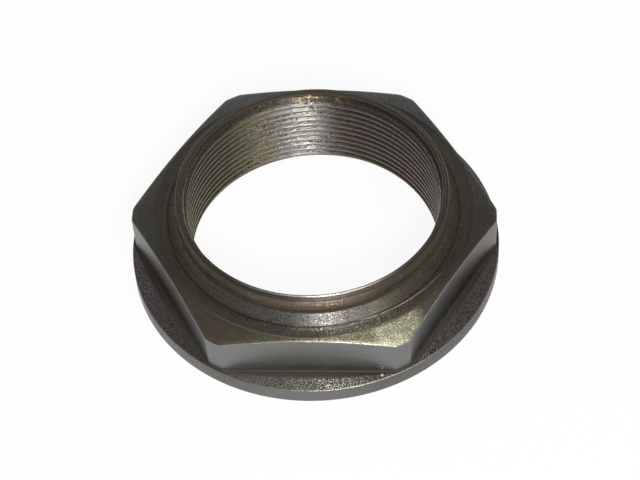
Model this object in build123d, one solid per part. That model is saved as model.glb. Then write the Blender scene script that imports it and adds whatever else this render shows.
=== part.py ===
from build123d import *
import math
import os

# Flanged hexagon nut with a thin turned collar, machined from one steel forging.
# Millimetres, +Z along the thread, origin at the centre of the bearing face.

# --- driving dimensions: the thread ---
thread_diameter = 52.0          # nominal (major) diameter of the metric fine thread
thread_pitch = 1.5
countersink_depth = 0.65        # 45 degree lead-in at the bearing face
counterbore_depth = 2.6         # from the collar's rim down to where the thread ends

# --- driving dimensions: across the nut ---
hexagon_wall = 6.5              # from the thread's major diameter out to a flat
flange_reach = 4.75             # how far the flange stands out past the flats
corner_land = 0.1               # flat left at a corner between the root fillet and the flange's broken edge
chamfer_inset = 0.7             # the corner chamfer leaves the top face this far inside the flats
chamfer_angle = 20.0            # fall of the chamfer below the top face, degrees
collar_wall = 1.2               # thickness of the collar round the counterbore
undercut_depth = 0.15           # turned groove at the foot of the collar, where it bends when staked
neck_step = 0.15                # the neck's cone starts this far outside the collar
neck_spread = 1.8               # how far the cone spreads by the top face
neck_cove = 0.35                # radius that blends the cone into the top face

# --- driving dimensions: along the axis ---
flange_thickness = 3.5
hexagon_height = 9.9            # from the flange's top to the hexagon's top face
collar_height = 6.0             # from the hexagon's top face to the collar's rim
neck_rise = 1.8                 # height of the neck's cone above the hexagon's top face
undercut_width = 0.9            # height of the groove above the cone

# --- driving dimensions: broken edges ---
flange_edge_break = 0.2
root_fillet = 0.3               # cutter radius where the hexagon meets the flange
collar_rim_radius = 0.5

# --- sizes that follow from them ---
counterbore_radius = thread_diameter / 2
bore_radius = (thread_diameter - 1.0825 * thread_pitch) / 2
across_flats = thread_diameter + 2 * hexagon_wall
flange_radius = across_flats / 2 + flange_reach
corner_radius = flange_radius - flange_edge_break - corner_land - root_fillet
chamfer_radius = across_flats / 2 - chamfer_inset
chamfer_fall = (corner_radius - chamfer_radius) * math.tan(math.radians(chamfer_angle))
collar_radius = counterbore_radius + collar_wall
neck_radius = collar_radius + neck_step
hexagon_top = flange_thickness + hexagon_height
neck_top = hexagon_top + neck_rise
collar_top = hexagon_top + collar_height
thread_top = collar_top - counterbore_depth


def turned_blank():
    """The nut as it leaves the lathe: flange, round blank, chamfer, neck, collar and bore."""
    neck_foot = (neck_radius + neck_spread, hexagon_top)
    inside = [
        (neck_radius, neck_top),
        (collar_radius - undercut_depth, neck_top),
        (collar_radius - undercut_depth, neck_top + undercut_width - undercut_depth),
        (collar_radius, neck_top + undercut_width),
        (collar_radius, collar_top),
        (counterbore_radius, collar_top),
        (counterbore_radius, thread_top + counterbore_radius - bore_radius),
        (bore_radius, thread_top),
        (bore_radius, countersink_depth),
        (bore_radius + countersink_depth, 0),
    ]
    outside = [
        (flange_radius - flange_edge_break, 0),
        (flange_radius, flange_edge_break),
        (flange_radius, flange_thickness - flange_edge_break),
        (flange_radius - flange_edge_break, flange_thickness),
        (corner_radius, flange_thickness),
        (corner_radius, hexagon_top - chamfer_fall),
        (chamfer_radius, hexagon_top),
        neck_foot,
    ]
    with BuildPart() as blank:
        with BuildSketch(Plane.XZ) as half_section:
            with BuildLine():
                Polyline(*inside, *outside, close=True)
            make_face()
            rim = half_section.vertices().group_by(Axis.Y)[-1]
            fillet(rim, collar_rim_radius)
            foot = half_section.vertices().sort_by_distance(neck_foot)[0]
            fillet(foot, neck_cove)
        revolve(axis=Axis.Z)
    return blank.part


def hexagon_waste():
    """What the milling cutter takes away above the flange to leave the six flats."""
    with BuildPart() as waste:
        with BuildSketch(Plane.XY.offset(flange_thickness)):
            Circle(2 * flange_radius)
            RegularPolygon(across_flats / 2, 6, major_radius=False, mode=Mode.SUBTRACT)
        extrude(amount=hexagon_top)
    return waste.part


def flanged_nut():
    """The finished nut: the blank with its six flats milled and their roots filleted."""
    milled = (turned_blank() - hexagon_waste()).solids()[0]
    level = milled.edges().filter_by_position(Axis.Z, flange_thickness, flange_thickness)
    flats = level.filter_by(GeomType.LINE)
    corners = level.filter_by(lambda edge: edge.geom_type == GeomType.CIRCLE
                              and edge.radius < corner_radius + root_fillet)
    return milled.fillet(root_fillet, flats + corners)


nut = flanged_nut()
nut.label = "nut"
nut.color = Color(0.33, 0.33, 0.31)

os.makedirs("parts", exist_ok=True)
export_step(nut, "parts/nut.step")
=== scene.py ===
import math

import bmesh
import bpy
import numpy as np
from mathutils import Matrix, Vector


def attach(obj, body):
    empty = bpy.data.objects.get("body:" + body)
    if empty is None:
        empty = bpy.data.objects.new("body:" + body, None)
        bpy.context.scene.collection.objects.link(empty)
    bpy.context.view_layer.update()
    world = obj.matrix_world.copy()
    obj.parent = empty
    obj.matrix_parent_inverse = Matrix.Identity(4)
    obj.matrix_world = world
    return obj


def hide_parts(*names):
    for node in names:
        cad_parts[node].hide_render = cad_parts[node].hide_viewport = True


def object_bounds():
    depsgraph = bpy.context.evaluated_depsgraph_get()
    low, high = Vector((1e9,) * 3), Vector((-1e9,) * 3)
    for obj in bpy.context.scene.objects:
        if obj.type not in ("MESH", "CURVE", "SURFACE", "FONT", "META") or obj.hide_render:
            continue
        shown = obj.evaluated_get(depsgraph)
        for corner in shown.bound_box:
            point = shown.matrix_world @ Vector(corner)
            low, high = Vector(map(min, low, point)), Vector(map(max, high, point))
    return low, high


# A large thin shaft nut: a hexagon with a round flange under it and a thin collar round its bore.
# One piece of dark oiled steel, in metres, with the thread's axis on Z and the bearing face at z = 0.

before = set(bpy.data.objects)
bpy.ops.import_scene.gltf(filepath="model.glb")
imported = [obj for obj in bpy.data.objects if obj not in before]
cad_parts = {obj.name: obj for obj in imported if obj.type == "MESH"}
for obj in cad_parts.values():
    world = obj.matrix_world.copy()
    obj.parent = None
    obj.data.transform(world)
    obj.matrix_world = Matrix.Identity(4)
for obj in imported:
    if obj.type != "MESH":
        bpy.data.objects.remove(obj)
cad_low, cad_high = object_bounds()
bpy.context.scene.view_settings.view_transform = "Standard"


# ---------------------------------------------------------------- camera
# It stands in front of the nut and looks down on it, with one flat of the hexagon to the front. Its
# distance and aim are shares of the flange's radius, so that they follow the nut's size.

flange_radius = (cad_high.x - cad_low.x) / 2
camera_azimuth = math.radians(5.16)
camera_elevation = math.radians(51.41)
camera_roll = math.radians(-3.95)
camera_distance = 11.757 * flange_radius
aim_right = 0.0209 * flange_radius
aim_up = 0.0576 * flange_radius
sensor_width = 36.0
lens = 120.27

forward = Vector((
    -math.sin(camera_azimuth) * math.cos(camera_elevation),
    math.cos(camera_azimuth) * math.cos(camera_elevation),
    -math.sin(camera_elevation),
))
level_right = Vector((math.cos(camera_azimuth), math.sin(camera_azimuth), 0))
level_up = level_right.cross(forward)
right = math.cos(camera_roll) * level_right + math.sin(camera_roll) * level_up
up = math.cos(camera_roll) * level_up - math.sin(camera_roll) * level_right
eye = aim_right * right + aim_up * up - camera_distance * forward
facing = Matrix((right, up, -forward)).transposed().to_4x4()

camera_data = bpy.data.cameras.new("camera")
camera_data.lens = lens
camera_data.sensor_width = sensor_width
camera_data.clip_start = 0.01
camera_data.clip_end = 100
camera = bpy.data.objects.new("camera", camera_data)
camera.matrix_world = Matrix.Translation(eye) @ facing
bpy.context.scene.collection.objects.link(camera)
bpy.context.scene.camera = camera


# ---------------------------------------------------------------- nut
# The whole nut is one turned forging: flange, hexagon, conical neck and collar. Its six flats are
# milled, the corners stay as turned, and a fine right-hand thread is cut from the bearing face up
# to a short counterbore in the collar.

mm = 0.001
across_flats = 65.0 * mm
corner_radius = 36.65 * mm
corner_round = 0.25 * mm            # the flats' long edges are dulled by handling
flange_thickness = 3.5 * mm
edge_break = 0.2 * mm
root_fillet = 0.3 * mm              # the cutter's corner, where a flat meets the flange
hexagon_top = 13.4 * mm
hexagon_edge = 0.16 * mm            # the flats' top edges are rubbed round
chamfer_radius = 31.8 * mm
chamfer_slope = math.tan(math.radians(20))
neck_foot = 29.15 * mm
neck_cove = 0.35 * mm
neck_radius = 27.35 * mm
neck_height = 15.2 * mm
undercut_radius = 27.05 * mm
undercut_top = 16.1 * mm
collar_radius = 27.2 * mm
collar_top = cad_high.z
collar_rim = 0.5 * mm
inner_rim = 0.2 * mm                # sharper than the outer round; the lip beside it is painted bright at the front as a highlight
thread_radius = 26.0 * mm           # the thread's major radius, and the counterbore's
thread_pitch = 1.5 * mm
thread_depth = 0.54127 * thread_pitch
thread_start = 0.5                  # where a crest leaves the bearing face, in turns
thread_top = 16.8 * mm
shallow_turn = 1.4 * mm             # the thread's last turn fades out in the counterbore
run_out_slope = 0.42
countersink = 0.65 * mm


def sector_angles(flat_steps, corner_steps):
    """Angles round the nut, closer together over each corner: six equal sectors, each a flat's even
    steps between two bends and then the steps over the bend and land that follow it."""
    half_flat = math.acos(across_flats / 2 / corner_radius)
    bend = math.radians(0.9)
    flat = np.linspace(-half_flat + bend, half_flat - bend, flat_steps, endpoint=False)
    corner = np.linspace(half_flat - bend, math.pi / 3 - half_flat + bend, corner_steps, endpoint=False)
    sector = np.concatenate([flat, corner])
    starts = math.radians(-30) + math.pi / 3 * np.arange(6)
    return (starts[:, None] + sector[None, :]).ravel()


def hexagon_radius(angle):
    """Distance from the axis to the hexagon's side: the smooth minimum of the flat's distance,
    half the flats over the cosine of the angle from its normal, and the turned corner radius."""
    from_normal = (angle + math.pi / 3) % (math.pi / 3) - math.pi / 6
    flat = across_flats / 2 / np.cos(from_normal)
    gap = np.maximum(corner_round - np.abs(flat - corner_radius), 0) / corner_round
    return np.minimum(flat, corner_radius) - corner_round * gap**2 / 4


def arc(centre_r, centre_z, radius, start, end, steps):
    """Points (r, z) on a circular arc, from one angle to another in degrees, both ends included."""
    sweep = np.radians(np.linspace(start, end, steps))
    return centre_r + radius * np.cos(sweep), centre_z + radius * np.sin(sweep)


def thread_shape(turns):
    """Depth of the thread's groove, 0 at the crest and 1 at the root, over one turn: a symmetrical
    trapezium with a quarter-pitch crest, 60 degree flanks and an eighth-pitch root, softened."""
    half_crest = 0.125
    flank = 0.3125
    softening = 0.06
    from_crest = np.abs((turns + 0.5) % 1 - 0.5)
    rise = np.clip((from_crest - half_crest) / flank, 0, 1)
    return rise - softening * np.sin(2 * math.pi * rise)


def bore_rows(angle):
    """The thread as rows that climb with the helix: each row keeps its place on the thread's
    profile and rises one pitch a turn, clamped between the bearing face and the run-out's end. Gives
    the rows' r and z at every angle, and how many rows one turn has."""
    profile_steps = np.array([
        0, 0.11, 0.14, 0.21, 0.29, 0.37, 0.42, 0.45, 0.55, 0.58, 0.63, 0.71, 0.79, 0.86, 0.89])
    top = thread_top + shallow_turn
    turns = math.ceil(top / thread_pitch)
    steps = np.concatenate([turn + profile_steps for turn in range(-1, turns + 1)])
    helix = angle[None, :] / (2 * math.pi) + thread_start
    z = np.clip(thread_pitch * (steps[:, None] + helix), 0, top)
    crest = thread_radius - thread_depth
    grooved = crest + thread_depth * thread_shape(z / thread_pitch - helix)
    lead_in = crest + countersink - z
    run_out = crest + (z - thread_top) * run_out_slope
    return np.maximum(grooved, np.maximum(lead_in, run_out)), z, len(profile_steps)


def outside_rows(angle):
    """From the counterbore over the collar, neck, top face, chamfer, flat and flange to the bearing
    face, as rows (r, z, kind) at every angle. The chamfer ends where it meets the hexagon's side."""
    rows = []

    def add(r, z, kind):
        """One row, level or from arrays over the angles."""
        rows.append((r + 0 * angle, z + 0 * angle, kind))

    def add_points(points, kind):
        """A level row for each point of a profile."""
        for r, z in zip(*points):
            add(r, z, kind)

    # The collar: its counterbore, worn inner edge, rim and wall, and the undercut at its foot.
    undercut_depth = collar_radius - undercut_radius
    add(thread_radius, collar_top - 0.95 * mm, "counterbore")
    add_points(arc(thread_radius + inner_rim, collar_top - inner_rim, inner_rim, 180, 90, 5), "groove")
    add(thread_radius + 0.38 * mm, collar_top, "lip")
    add_points(arc(collar_radius - collar_rim, collar_top - collar_rim, collar_rim, 78, 0, 6), "rim")
    add(collar_radius, collar_top - 0.8 * mm, "collar")
    add(collar_radius - 0.02 * mm, undercut_top + 0.02 * mm, "collar")
    add(undercut_radius + 0.02 * mm, undercut_top - undercut_depth, "groove")
    add(undercut_radius, undercut_top - undercut_depth - 0.08 * mm, "groove")
    add(undercut_radius + 0.06 * mm, neck_height + 0.01 * mm, "groove")
    add(neck_radius - 0.08 * mm, neck_height, "groove")

    # The neck: a cone that ends in a cove, where its slope has turned level with the top face.
    fall = math.atan2(neck_height - hexagon_top, neck_foot - neck_radius)
    reach = neck_cove * math.tan(fall / 2)
    cone_end = (neck_foot - reach * math.cos(fall), hexagon_top + reach * math.sin(fall))
    along = np.array([0.03, 0.1, 0.35, 0.65, 0.97])
    add_points((neck_radius + (cone_end[0] - neck_radius) * along,
                neck_height + (cone_end[1] - neck_height) * along), "neck")
    cove = arc(neck_foot + reach, hexagon_top + neck_cove, neck_cove, 270 - math.degrees(fall), 270, 5)
    add_points(cove, "foot")

    # The top face and the chamfer, down to the rubbed edge of the flats, whose round is lifted a
    # little so that it runs into the chamfer's slope.
    side = hexagon_radius(angle)
    side_top = hexagon_top - (side - chamfer_radius) * chamfer_slope
    add(neck_foot + reach + 0.15 * mm, hexagon_top, "top")
    add(chamfer_radius, hexagon_top - 0.01 * mm, "chamfer")
    inner = side - hexagon_edge
    for share in (0.1, 0.4, 0.7, 1.0):
        add(chamfer_radius + (inner - chamfer_radius) * share,
            hexagon_top - (inner - chamfer_radius) * chamfer_slope * share, "chamfer")
    edge_foot = side_top - hexagon_edge
    edge_lift = chamfer_slope * hexagon_edge * 0.3
    for tilt in (math.radians(70), math.radians(45), math.radians(20)):
        add(side - hexagon_edge * (1 - math.cos(tilt)),
            edge_foot + hexagon_edge * math.sin(tilt) + edge_lift, "edge")
    add(side, edge_foot, "edge")

    # The flat, the cutter's fillet at its foot, and the flange with both of its edges.
    flat_foot = flange_thickness + root_fillet
    for share in (0.04, 0.3, 0.6, 0.9):
        add(side, edge_foot + (flat_foot - edge_foot) * share, "flat")
    for fillet_r, fillet_z in zip(*arc(0, flat_foot, root_fillet, 180, 270, 5)):
        add(side + root_fillet + fillet_r, fillet_z, "root")
    flange_edge = flange_radius - edge_break
    for share, kind in ((0.06, "flange root"), (0.18, "flange root"), (0.45, "flange"), (0.9, "flange")):
        add(side + root_fillet + (flange_edge - side - root_fillet) * share, flange_thickness, kind)
    add(flange_edge - 0.05 * mm, flange_thickness, "flange")
    add_points(arc(flange_edge, flange_thickness - edge_break, edge_break, 90, 20, 4), "edge")
    add(flange_radius, flange_thickness - edge_break, "band")
    add(flange_radius, flange_thickness - 0.5 * mm, "band")
    add_points(arc(flange_edge, edge_break, edge_break, 0, -90, 4), "band")
    add(flange_edge - 0.3 * mm, 0, "bearing")
    return rows


mask_names = (
    "lip", "rim", "collar", "groove", "neck", "foot", "top",
    "chamfer", "edge", "flat", "root", "flange", "band",
)


def nut_mesh():
    """Joins the helical bore rows and the outside rows into one ring of quads. Crossing the seam a
    thread row meets the row one turn above it, and the clamped rows are merged away. Below the first
    turn a slit, at most half a millimetre high, stays open at the seam. Each kind of row gets a mask
    of its name, and "trough" is 0 on the thread's crests and 1 in its roots."""
    angle = sector_angles(flat_steps=50, corner_steps=16)
    columns = len(angle)
    bore_r, bore_z, rows_per_turn = bore_rows(angle)
    bore_count = len(bore_r)
    outside = outside_rows(angle)
    r = np.vstack([bore_r] + [row[0][None, :] for row in outside])
    z = np.vstack([bore_z] + [row[1][None, :] for row in outside])
    count = len(r)
    points = np.stack([r * np.cos(angle), r * np.sin(angle), z], axis=-1).reshape(-1, 3)

    row, column = np.meshgrid(np.arange(count), np.arange(columns), indexing="ij")
    next_row = (row + 1) % count
    next_column = (column + 1) % columns

    def across(rows):
        """The rows that these meet in the next column: at the seam, bore rows are one turn up."""
        climbed = np.where(rows < bore_count, np.minimum(rows + rows_per_turn, bore_count - 1), rows)
        return np.where(column == columns - 1, climbed, rows)

    quads = np.stack([
        row * columns + column,
        next_row * columns + column,
        across(next_row) * columns + next_column,
        across(row) * columns + next_column,
    ], axis=-1).reshape(-1, 4)

    made = bpy.data.meshes.new("nut")
    made.from_pydata(points.tolist(), [], quads.tolist())
    kinds = ["thread"] * bore_count + [kind for _, _, kind in outside]
    for name in mask_names:
        share = np.repeat([1.0 if name in kind.split() else 0.0 for kind in kinds], columns)
        made.attributes.new(name, "FLOAT", "POINT").data.foreach_set("value", share)
    trough = np.zeros(r.shape)
    trough[:bore_count] = (bore_r - thread_radius + thread_depth) / thread_depth
    made.attributes.new("trough", "FLOAT", "POINT").data.foreach_set("value", trough.ravel())
    made.validate()
    return made


def merge_doubles(made, reach):
    """Merges points that lie on each other, turns the faces outward and shades them smooth."""
    work = bmesh.new()
    work.from_mesh(made)
    bmesh.ops.remove_doubles(work, verts=work.verts, dist=reach)
    bmesh.ops.recalc_face_normals(work, faces=work.faces)
    work.to_mesh(made)
    work.free()
    for polygon in made.polygons:
        polygon.use_smooth = True


mesh = nut_mesh()
merge_doubles(mesh, reach=0.002 * mm)


class Wire:
    """One output of a node. Arithmetic on it adds Math nodes and gives the result's wire."""

    def __init__(self, tree, socket):
        self.tree = tree
        self.socket = socket

    def maths(self, operation, *values):
        """A Math node on the values, this wire among them."""
        return add_node(self.tree, "ShaderNodeMath", {"operation": operation}, values)

    def __add__(self, other):
        return self.maths("ADD", self, other)

    def __sub__(self, other):
        return self.maths("SUBTRACT", self, other)

    def __rsub__(self, other):
        return self.maths("SUBTRACT", other, self)

    def __mul__(self, other):
        return self.maths("MULTIPLY", self, other)

    def __truediv__(self, other):
        return self.maths("DIVIDE", self, other)

    def __pow__(self, other):
        return self.maths("POWER", self, other)

    def __abs__(self):
        return self.maths("ABSOLUTE", self)

    __radd__ = __add__
    __rmul__ = __mul__

    def ramp(self, low, high):
        """0 below one value and 1 above the other, or the other way round if low is above high."""
        if low > high:
            return 1 - self.ramp(high, low)
        settings = {"interpolation_type": "SMOOTHSTEP"}
        return add_node(self.tree, "ShaderNodeMapRange", settings, (self, low, high, 0, 1))


def add_node(tree, kind, settings, inputs, output=0):
    """Adds any node: its settings first, then its sockets' values or links, by place or by name."""
    made = tree.nodes.new(kind)
    for name, value in settings.items():
        setattr(made, name, value)
    named = inputs.items() if isinstance(inputs, dict) else enumerate(inputs)
    for name, value in named:
        if isinstance(value, Wire):
            tree.links.new(value.socket, made.inputs[name])
        else:
            made.inputs[name].default_value = value
    return Wire(tree, made.outputs[output])


def vector(x, y, z):
    """A vector from three wires or numbers, the first of them a wire."""
    return add_node(x.tree, "ShaderNodeCombineXYZ", {}, (x, y, z))


def vector_maths(operation, vectors, output=0):
    """A Vector Math node on one or two vectors, the first of them a wire."""
    return add_node(vectors[0].tree, "ShaderNodeVectorMath", {"operation": operation}, vectors, output)


def scaled(wire, factor):
    """A vector times a number or a wire."""
    return add_node(wire.tree, "ShaderNodeVectorMath", {"operation": "SCALE"}, {0: wire, "Scale": factor})


def noise(place, scale, detail=2, roughness=0.5, distortion=0.0):
    """Soft noise between 0 and 1 at a vector place in millimetres."""
    return add_node(place.tree, "ShaderNodeTexNoise", {}, {
        "Vector": place, "Scale": scale, "Detail": detail, "Roughness": roughness, "Distortion": distortion})


def blend_colour(share, first, second):
    """One colour at share 0, the other at share 1."""
    return add_node(share.tree, "ShaderNodeMix", {"data_type": "RGBA"}, {0: share, 6: first, 7: second}, 2)


brown_oil = (0.178, 0.140, 0.108, 1)
olive_oil = (0.172, 0.165, 0.105, 1)
purple_oil = (0.165, 0.128, 0.125, 1)
flange_oil = (0.235, 0.222, 0.205, 1)
# flange_side_light paints the flange's upper face lighter at the sides
flange_side_light = (0.300, 0.255, 0.258, 1)
# side_and_back_shade paints shade on the chamfer's sides and on the chamfer and top face at the back
side_and_back_shade = (0.085, 0.083, 0.080, 1)
# grime_and_shade: grime in the wide rings, and painted shade in the thread's roots, the fillets, the
# undercut and the cove's foot, on the rim's outer round, and on the sides of the neck, flats and flange's
# wall; it also darkens the bore's upper end and the flange's front right
grime_and_shade = (0.065, 0.054, 0.045, 1)
rust = (0.300, 0.220, 0.100, 1)
# turned_steel_and_sheen: turned steel in the wide rings, and a painted sheen where the flash falls on the
# back of the bore, the neck's front and the top face's front
turned_steel_and_sheen = (0.215, 0.207, 0.195, 1)
milled_steel = (0.205, 0.210, 0.205, 1)
rim_steel = (0.170, 0.172, 0.168, 1)
# worn_steel_and_highlight: painted highlights on the rubbed edges, the lip, a ring in the top face and the
# chamfer's inner edge, towards the front
worn_steel_and_highlight = (0.600, 0.595, 0.570, 1)
# bare_olive_and_sheen: bare steel on the scuffed corner, and a painted sheen on the chamfer's front
bare_olive_and_sheen = (0.210, 0.200, 0.130, 1)
scored_steel = (0.780, 0.750, 0.540, 1)
paint = (0.85, 0.85, 0.85, 1)
paint_fleck = (14.2, -33.4, 3.5)    # a speck of white paint on the flange, in millimetres

steel = bpy.data.materials.new("oiled_steel")
steel.use_nodes = True
tree = steel.node_tree

# Where a point is, in millimetres. East and north are its direction from the axis: the front of the
# nut is at north -1 and its right-hand side at east 1. What isn't near the front counts as side.
metres = add_node(tree, "ShaderNodeTexCoord", {}, {}, "Object")
place = scaled(metres, 1 / mm)
x, y, z = (add_node(tree, "ShaderNodeSeparateXYZ", {}, (place,), axis) for axis in "XYZ")
radius = (x * x + y * y) ** 0.5
east = x / radius
north = y / radius
slope = radius - z
front = north.ramp(-0.80, -0.97)
side = north.ramp(-0.85, -0.3)
back = north.ramp(0.5, 0.9)
front_right = east.ramp(0.36, 0.42) * east.ramp(0.68, 0.60) * north.ramp(0, -0.1)

# What the point is part of: its row's masks. The bore and the bearing face have none.
masks = [
    add_node(tree, "ShaderNodeAttribute", {"attribute_name": name}, {}, "Fac") for name in mask_names]
lip, rim, collar, groove, neck, foot, top, chamfer, edge, flat, root, flange, band = masks
bore = sum(masks).ramp(0.6, 0.4)
bore_end = bore * z.ramp(thread_top / mm - 0.2, thread_top / mm + 0.8)
trough = add_node(tree, "ShaderNodeAttribute", {"attribute_name": "trough"}, {}, "Fac")

# The film of oil is blotched and stained, the tool's rings run round the turned faces, and streaks
# run down the milled ones.
blotches = noise(place, 0.14, 4, 0.6)
stains = noise(place, 0.45, 5, 0.7)
mottle = noise(place, 1.1, 3, 0.6)
grain = noise(place, 4.5, 1, 0.7)
wide_rings = noise(vector(east * 1.6, north * 1.6, slope * 1.6), 1.0, 3, 0.6)
fine_rings = noise(vector(east * 150, north * 150, slope * 14.0), 1.0, 2, 0.7)
streaks = noise(vector(x * 1.6, y * 1.6, z * 0.15), 1.0, 3, 0.6)

# Handling has rubbed the edges, scuffed one front corner, and scored a short arc beside it. The rubbed edges
# get a painted highlight towards the front and right, and so do a turned ring on the top face and the
# chamfer's inner edge at the front.
rubbed_edge_highlight = edge * grain.ramp(0.35, 0.6) * (1 - side * 0.9) * (east.ramp(-0.05, 0.25) * 0.6 + 0.4)
top_ring_highlight = abs(radius - 29.8).ramp(0.40, 0.10) * top * front * east.ramp(-0.15, 0.05)
ridge_highlight = abs(radius - chamfer_radius / mm).ramp(0.16, 0.04) * north.ramp(-0.75, -0.9) * (top + chamfer)
scuffs = abs(noise(place, 0.6, 2, 0.5, 1.0) - 0.5).ramp(0.035, 0.005)
corner = chamfer * front_right * radius.ramp(chamfer_radius / mm, chamfer_radius / mm + 0.6)
scored = corner * (scuffs * 0.6 + 0.25)
scored_arc = abs(radius - east * 1.6 - 28.7).ramp(0.16, 0.06) * (top + foot)
scored_arc = scored_arc * east.ramp(0.32, 0.42) * north.ramp(-0.45, -0.75)
from_fleck = vector_maths("DISTANCE", (place, paint_fleck), "Value")

# Each coat is laid over those before it, by its share.
coats = [
    # the oil's stains and the wide rings in it
    (stains.ramp(0.50, 0.66) * 0.6, purple_oil),
    (wide_rings.ramp(0.54, 0.74) * 0.4, turned_steel_and_sheen),
    (wide_rings.ramp(0.46, 0.30) * 0.5, grime_and_shade),
    # the bore: purple on the right and olive on the left, a painted highlight of clean steel at the back
    # where the flash falls, painted shade in the thread's roots, darker round its upper end, and rusty spots
    # there
    (bore * x.ramp(-6, 10) * 0.6, purple_oil),
    (bore * abs(x + 3).ramp(9, 3) * y.ramp(0, 10) * 0.8, turned_steel_and_sheen),
    (bore * x.ramp(-8, -14) * 0.5, olive_oil),
    (bore * trough.ramp(0.55, 0.9) * 0.75, grime_and_shade),
    (bore_end * 0.85, grime_and_shade),
    (bore_end * stains.ramp(0.50, 0.62) * abs(x).ramp(9, 3), rust),
    # the neck with a painted sheen at the front and painted shade at the sides; painted shade on the
    # chamfer's sides and at the back of the chamfer and top face; a painted sheen on the chamfer's front
    (neck * front * 0.8, turned_steel_and_sheen),
    (neck * side * 0.35, grime_and_shade),
    (chamfer * side * 0.6 + (chamfer + top) * back * 0.8, side_and_back_shade),
    (chamfer * front * east.ramp(-0.3, 0.4), bare_olive_and_sheen),
    # the flange's upper face, painted lighter at the sides and darker on its front right; a painted sheen on
    # the top face's front, and a painted highlight along a turned ring there
    (flange * 0.8, flange_oil),
    (flange * side * 0.9, flange_side_light),
    (flange * front * east.ramp(0.1, 0.4) * 0.7, grime_and_shade),
    (top * front * 0.8, turned_steel_and_sheen),
    (top_ring_highlight * 0.35, worn_steel_and_highlight),
    # the milled flats and the flange's wall with painted shade at the sides and near the corners, and
    # painted shade in the fillets, the undercut, the inner rim and the cove's foot
    (flat, milled_steel),
    (flat * (side * 0.55 + abs(east).ramp(0.42, 0.5) * 0.15), grime_and_shade),
    (band, rim_steel),
    (band * (side * 0.9 + abs(east).ramp(0.15, 0.5) * 0.4), grime_and_shade),
    (root * (side * 0.3 + 0.6) + (groove + foot) * 0.8, grime_and_shade),
    # rubbed edges with a painted highlight towards the front and right, painted shade on the rim's outer
    # round, a painted highlight on the lip at the front, the scuffed corner and scored marks, a painted
    # highlight along the chamfer's inner edge, and the fleck of paint
    (rubbed_edge_highlight * 0.6, worn_steel_and_highlight),
    (rim * 0.7, grime_and_shade),
    (lip * front * 0.6, worn_steel_and_highlight),
    (corner * 0.8, bare_olive_and_sheen),
    (scored, scored_steel),
    (scored_arc, scored_steel),
    (ridge_highlight * 0.4, worn_steel_and_highlight),
    (from_fleck.ramp(0.34, 0.24), paint),
]
colour = blend_colour(blotches.ramp(0.38, 0.62), brown_oil, olive_oil)
for share, coat in coats:
    colour = blend_colour(share, colour, coat)

rough = 0.36 + (blotches - 0.5) * 0.12 + (mottle - 0.5) * 0.12 + (root + groove + scored * 0.3) * 0.4
rough = rough - (neck + lip + bore) * 0.07

# The tool's fine rings and the grain tilt the turned faces' normals up and down the slope, never
# along the ring. A faint bump adds mottled grain everywhere and streaks on the flats.
ring_tilt = 5.0 - band * 4.2 - edge * 4.5 - bore * 2.5 - neck * 1.0 - chamfer * 2.5 - lip * 3.5
grain_tilt = neck * 3.5 + flange * 1.2 - chamfer * 1.2 + 1.8
tilt = (fine_rings - 0.5) * ring_tilt + (grain - 0.5) * grain_tilt + collar * front * 0.5 - lip * 0.8
tilt = tilt * (1 - flat) * (1 - root)
normal = add_node(tree, "ShaderNodeNewGeometry", {}, {}, "Normal")
up_slope = vector_maths("CROSS_PRODUCT", (normal, vector(0 - north, east, 0.0)))
height = streaks * flat * 0.3 + grain * 0.5 + mottle * 0.3
bumped = add_node(tree, "ShaderNodeBump", {}, {"Strength": 0.5, "Distance": 0.06 * mm, "Height": height})
tilted = vector_maths("NORMALIZE", (vector_maths("ADD", (bumped, scaled(up_slope, tilt))),))

steel_shader = tree.nodes["Principled BSDF"]
steel_shader.inputs["Metallic"].default_value = 1.0
tree.links.new(colour.socket, steel_shader.inputs["Base Color"])
tree.links.new(rough.socket, steel_shader.inputs["Roughness"])
tree.links.new(tilted.socket, steel_shader.inputs["Normal"])

mesh.materials.append(steel)
nut = bpy.data.objects.new("flanged_nut", mesh)
bpy.context.scene.collection.objects.link(nut)
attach(nut, "root")
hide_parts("nut")


# ---------------------------------------------------------------- floor
# The nut lies on a large round sheet of white paper whose rim curves up into a low wall. The paper
# keeps the nut's shadow, but faintly, because most of the white that is seen is its own.

floor_flat = 1.4
wall_height = 0.2
floor_white = 0.92


def floor_sheet(steps):
    """A disc turned from a straight run and a quarter circle: the radius grows along the run, and
    radius and height follow the arc. A fan of triangles closes its middle."""
    sweep = np.linspace(0, math.pi / 2, 13)[1:]
    run = np.linspace(0.02, 1, 12) * floor_flat
    r = np.concatenate([run, floor_flat + wall_height * np.sin(sweep)])
    z = np.concatenate([0 * run, wall_height * (1 - np.cos(sweep))])
    angle = np.linspace(0, 2 * math.pi, steps, endpoint=False)
    level = np.outer(z, np.ones(steps))
    rings = np.stack([np.outer(r, np.cos(angle)), np.outer(r, np.sin(angle)), level], axis=-1)
    points = np.concatenate([rings.reshape(-1, 3), [[0, 0, 0]]])
    ring, column = np.meshgrid(np.arange(len(r) - 1), np.arange(steps), indexing="ij")
    following = (column + 1) % steps
    quads = np.stack([
        ring * steps + column,
        (ring + 1) * steps + column,
        (ring + 1) * steps + following,
        ring * steps + following,
    ], axis=-1).reshape(-1, 4)
    hub = [(len(points) - 1, step, (step + 1) % steps) for step in range(steps)]
    made = bpy.data.meshes.new("floor")
    made.from_pydata(points.tolist(), [], quads.tolist() + hub)
    for polygon in made.polygons:
        polygon.use_smooth = True
    return made


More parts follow.
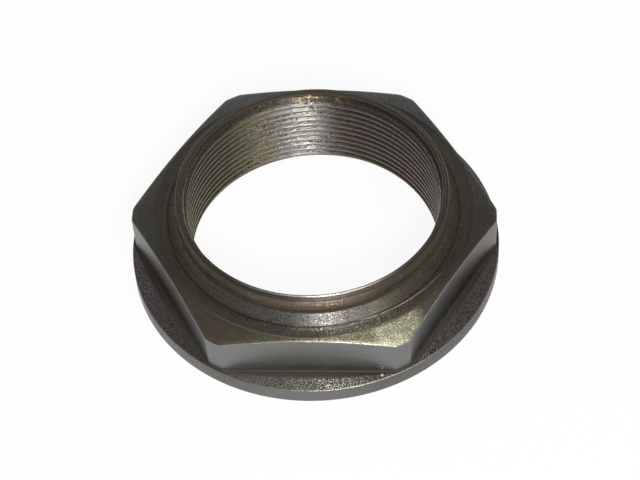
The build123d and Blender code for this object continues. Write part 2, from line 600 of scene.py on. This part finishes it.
def paper_finish():
    """White paper: seen directly or in the metal it is mostly its own white, and to the nut's
    diffuse light it is plain paper."""
    paper = bpy.data.materials.new("floor_paper")
    paper.use_nodes = True
    tree = paper.node_tree
    shader = tree.nodes["Principled BSDF"]
    shader.inputs["Base Color"].default_value = (0.9, 0.9, 0.9, 1)
    shader.inputs["Roughness"].default_value = 0.9
    shader.inputs["Specular IOR Level"].default_value = 0.0
    seen, in_metal, through = (add_node(tree, "ShaderNodeLightPath", {}, {}, ray) for ray in (
        "Is Camera Ray", "Is Glossy Ray", "Is Transmission Ray"))
    share = seen.maths("MAXIMUM", seen, in_metal)
    share = share.maths("MAXIMUM", share, through) * floor_white
    white = add_node(tree, "ShaderNodeEmission", {}, {"Color": (1, 1, 1, 1), "Strength": 1.0})
    mixed = add_node(tree, "ShaderNodeMixShader", {}, (share, Wire(tree, shader.outputs[0]), white))
    tree.links.new(mixed.socket, tree.nodes["Material Output"].inputs["Surface"])
    return paper


sheet = floor_sheet(steps=96)
sheet.materials.append(paper_finish())
floor = bpy.data.objects.new("floor", sheet)
bpy.context.scene.collection.objects.link(floor)


# ---------------------------------------------------------------- light
# A small flash lamp beside the camera, a larger and softer one further to the right, and a grey
# room all round.

room_grey = 0.28


def lamp(name, azimuth, elevation, distance, width, power):
    """A square lamp on a sphere round the nut, facing its middle. Azimuth 0 is the front."""
    turned = math.radians(azimuth)
    lift = math.radians(elevation)
    out = Vector((math.sin(turned) * math.cos(lift), -math.cos(turned) * math.cos(lift), math.sin(lift)))
    data = bpy.data.lights.new(name, "AREA")
    data.shape = "RECTANGLE"
    data.size = width
    data.size_y = width
    data.energy = power
    made = bpy.data.objects.new(name, data)
    inward = out.to_track_quat("Z", "Y").to_matrix().to_4x4()
    made.matrix_world = Matrix.Translation(out * distance) @ inward
    bpy.context.scene.collection.objects.link(made)


lamp("flash", azimuth=9.5, elevation=41, distance=0.8, width=0.12, power=5.0)
lamp("fill", azimuth=45, elevation=50, distance=0.9, width=0.35, power=2.0)

world = bpy.data.worlds.new("room")
bpy.context.scene.world = world
world.use_nodes = True
room = world.node_tree.nodes["Background"]
room.inputs["Color"].default_value = (room_grey, room_grey, room_grey, 1)
room.inputs["Strength"].default_value = 1.0
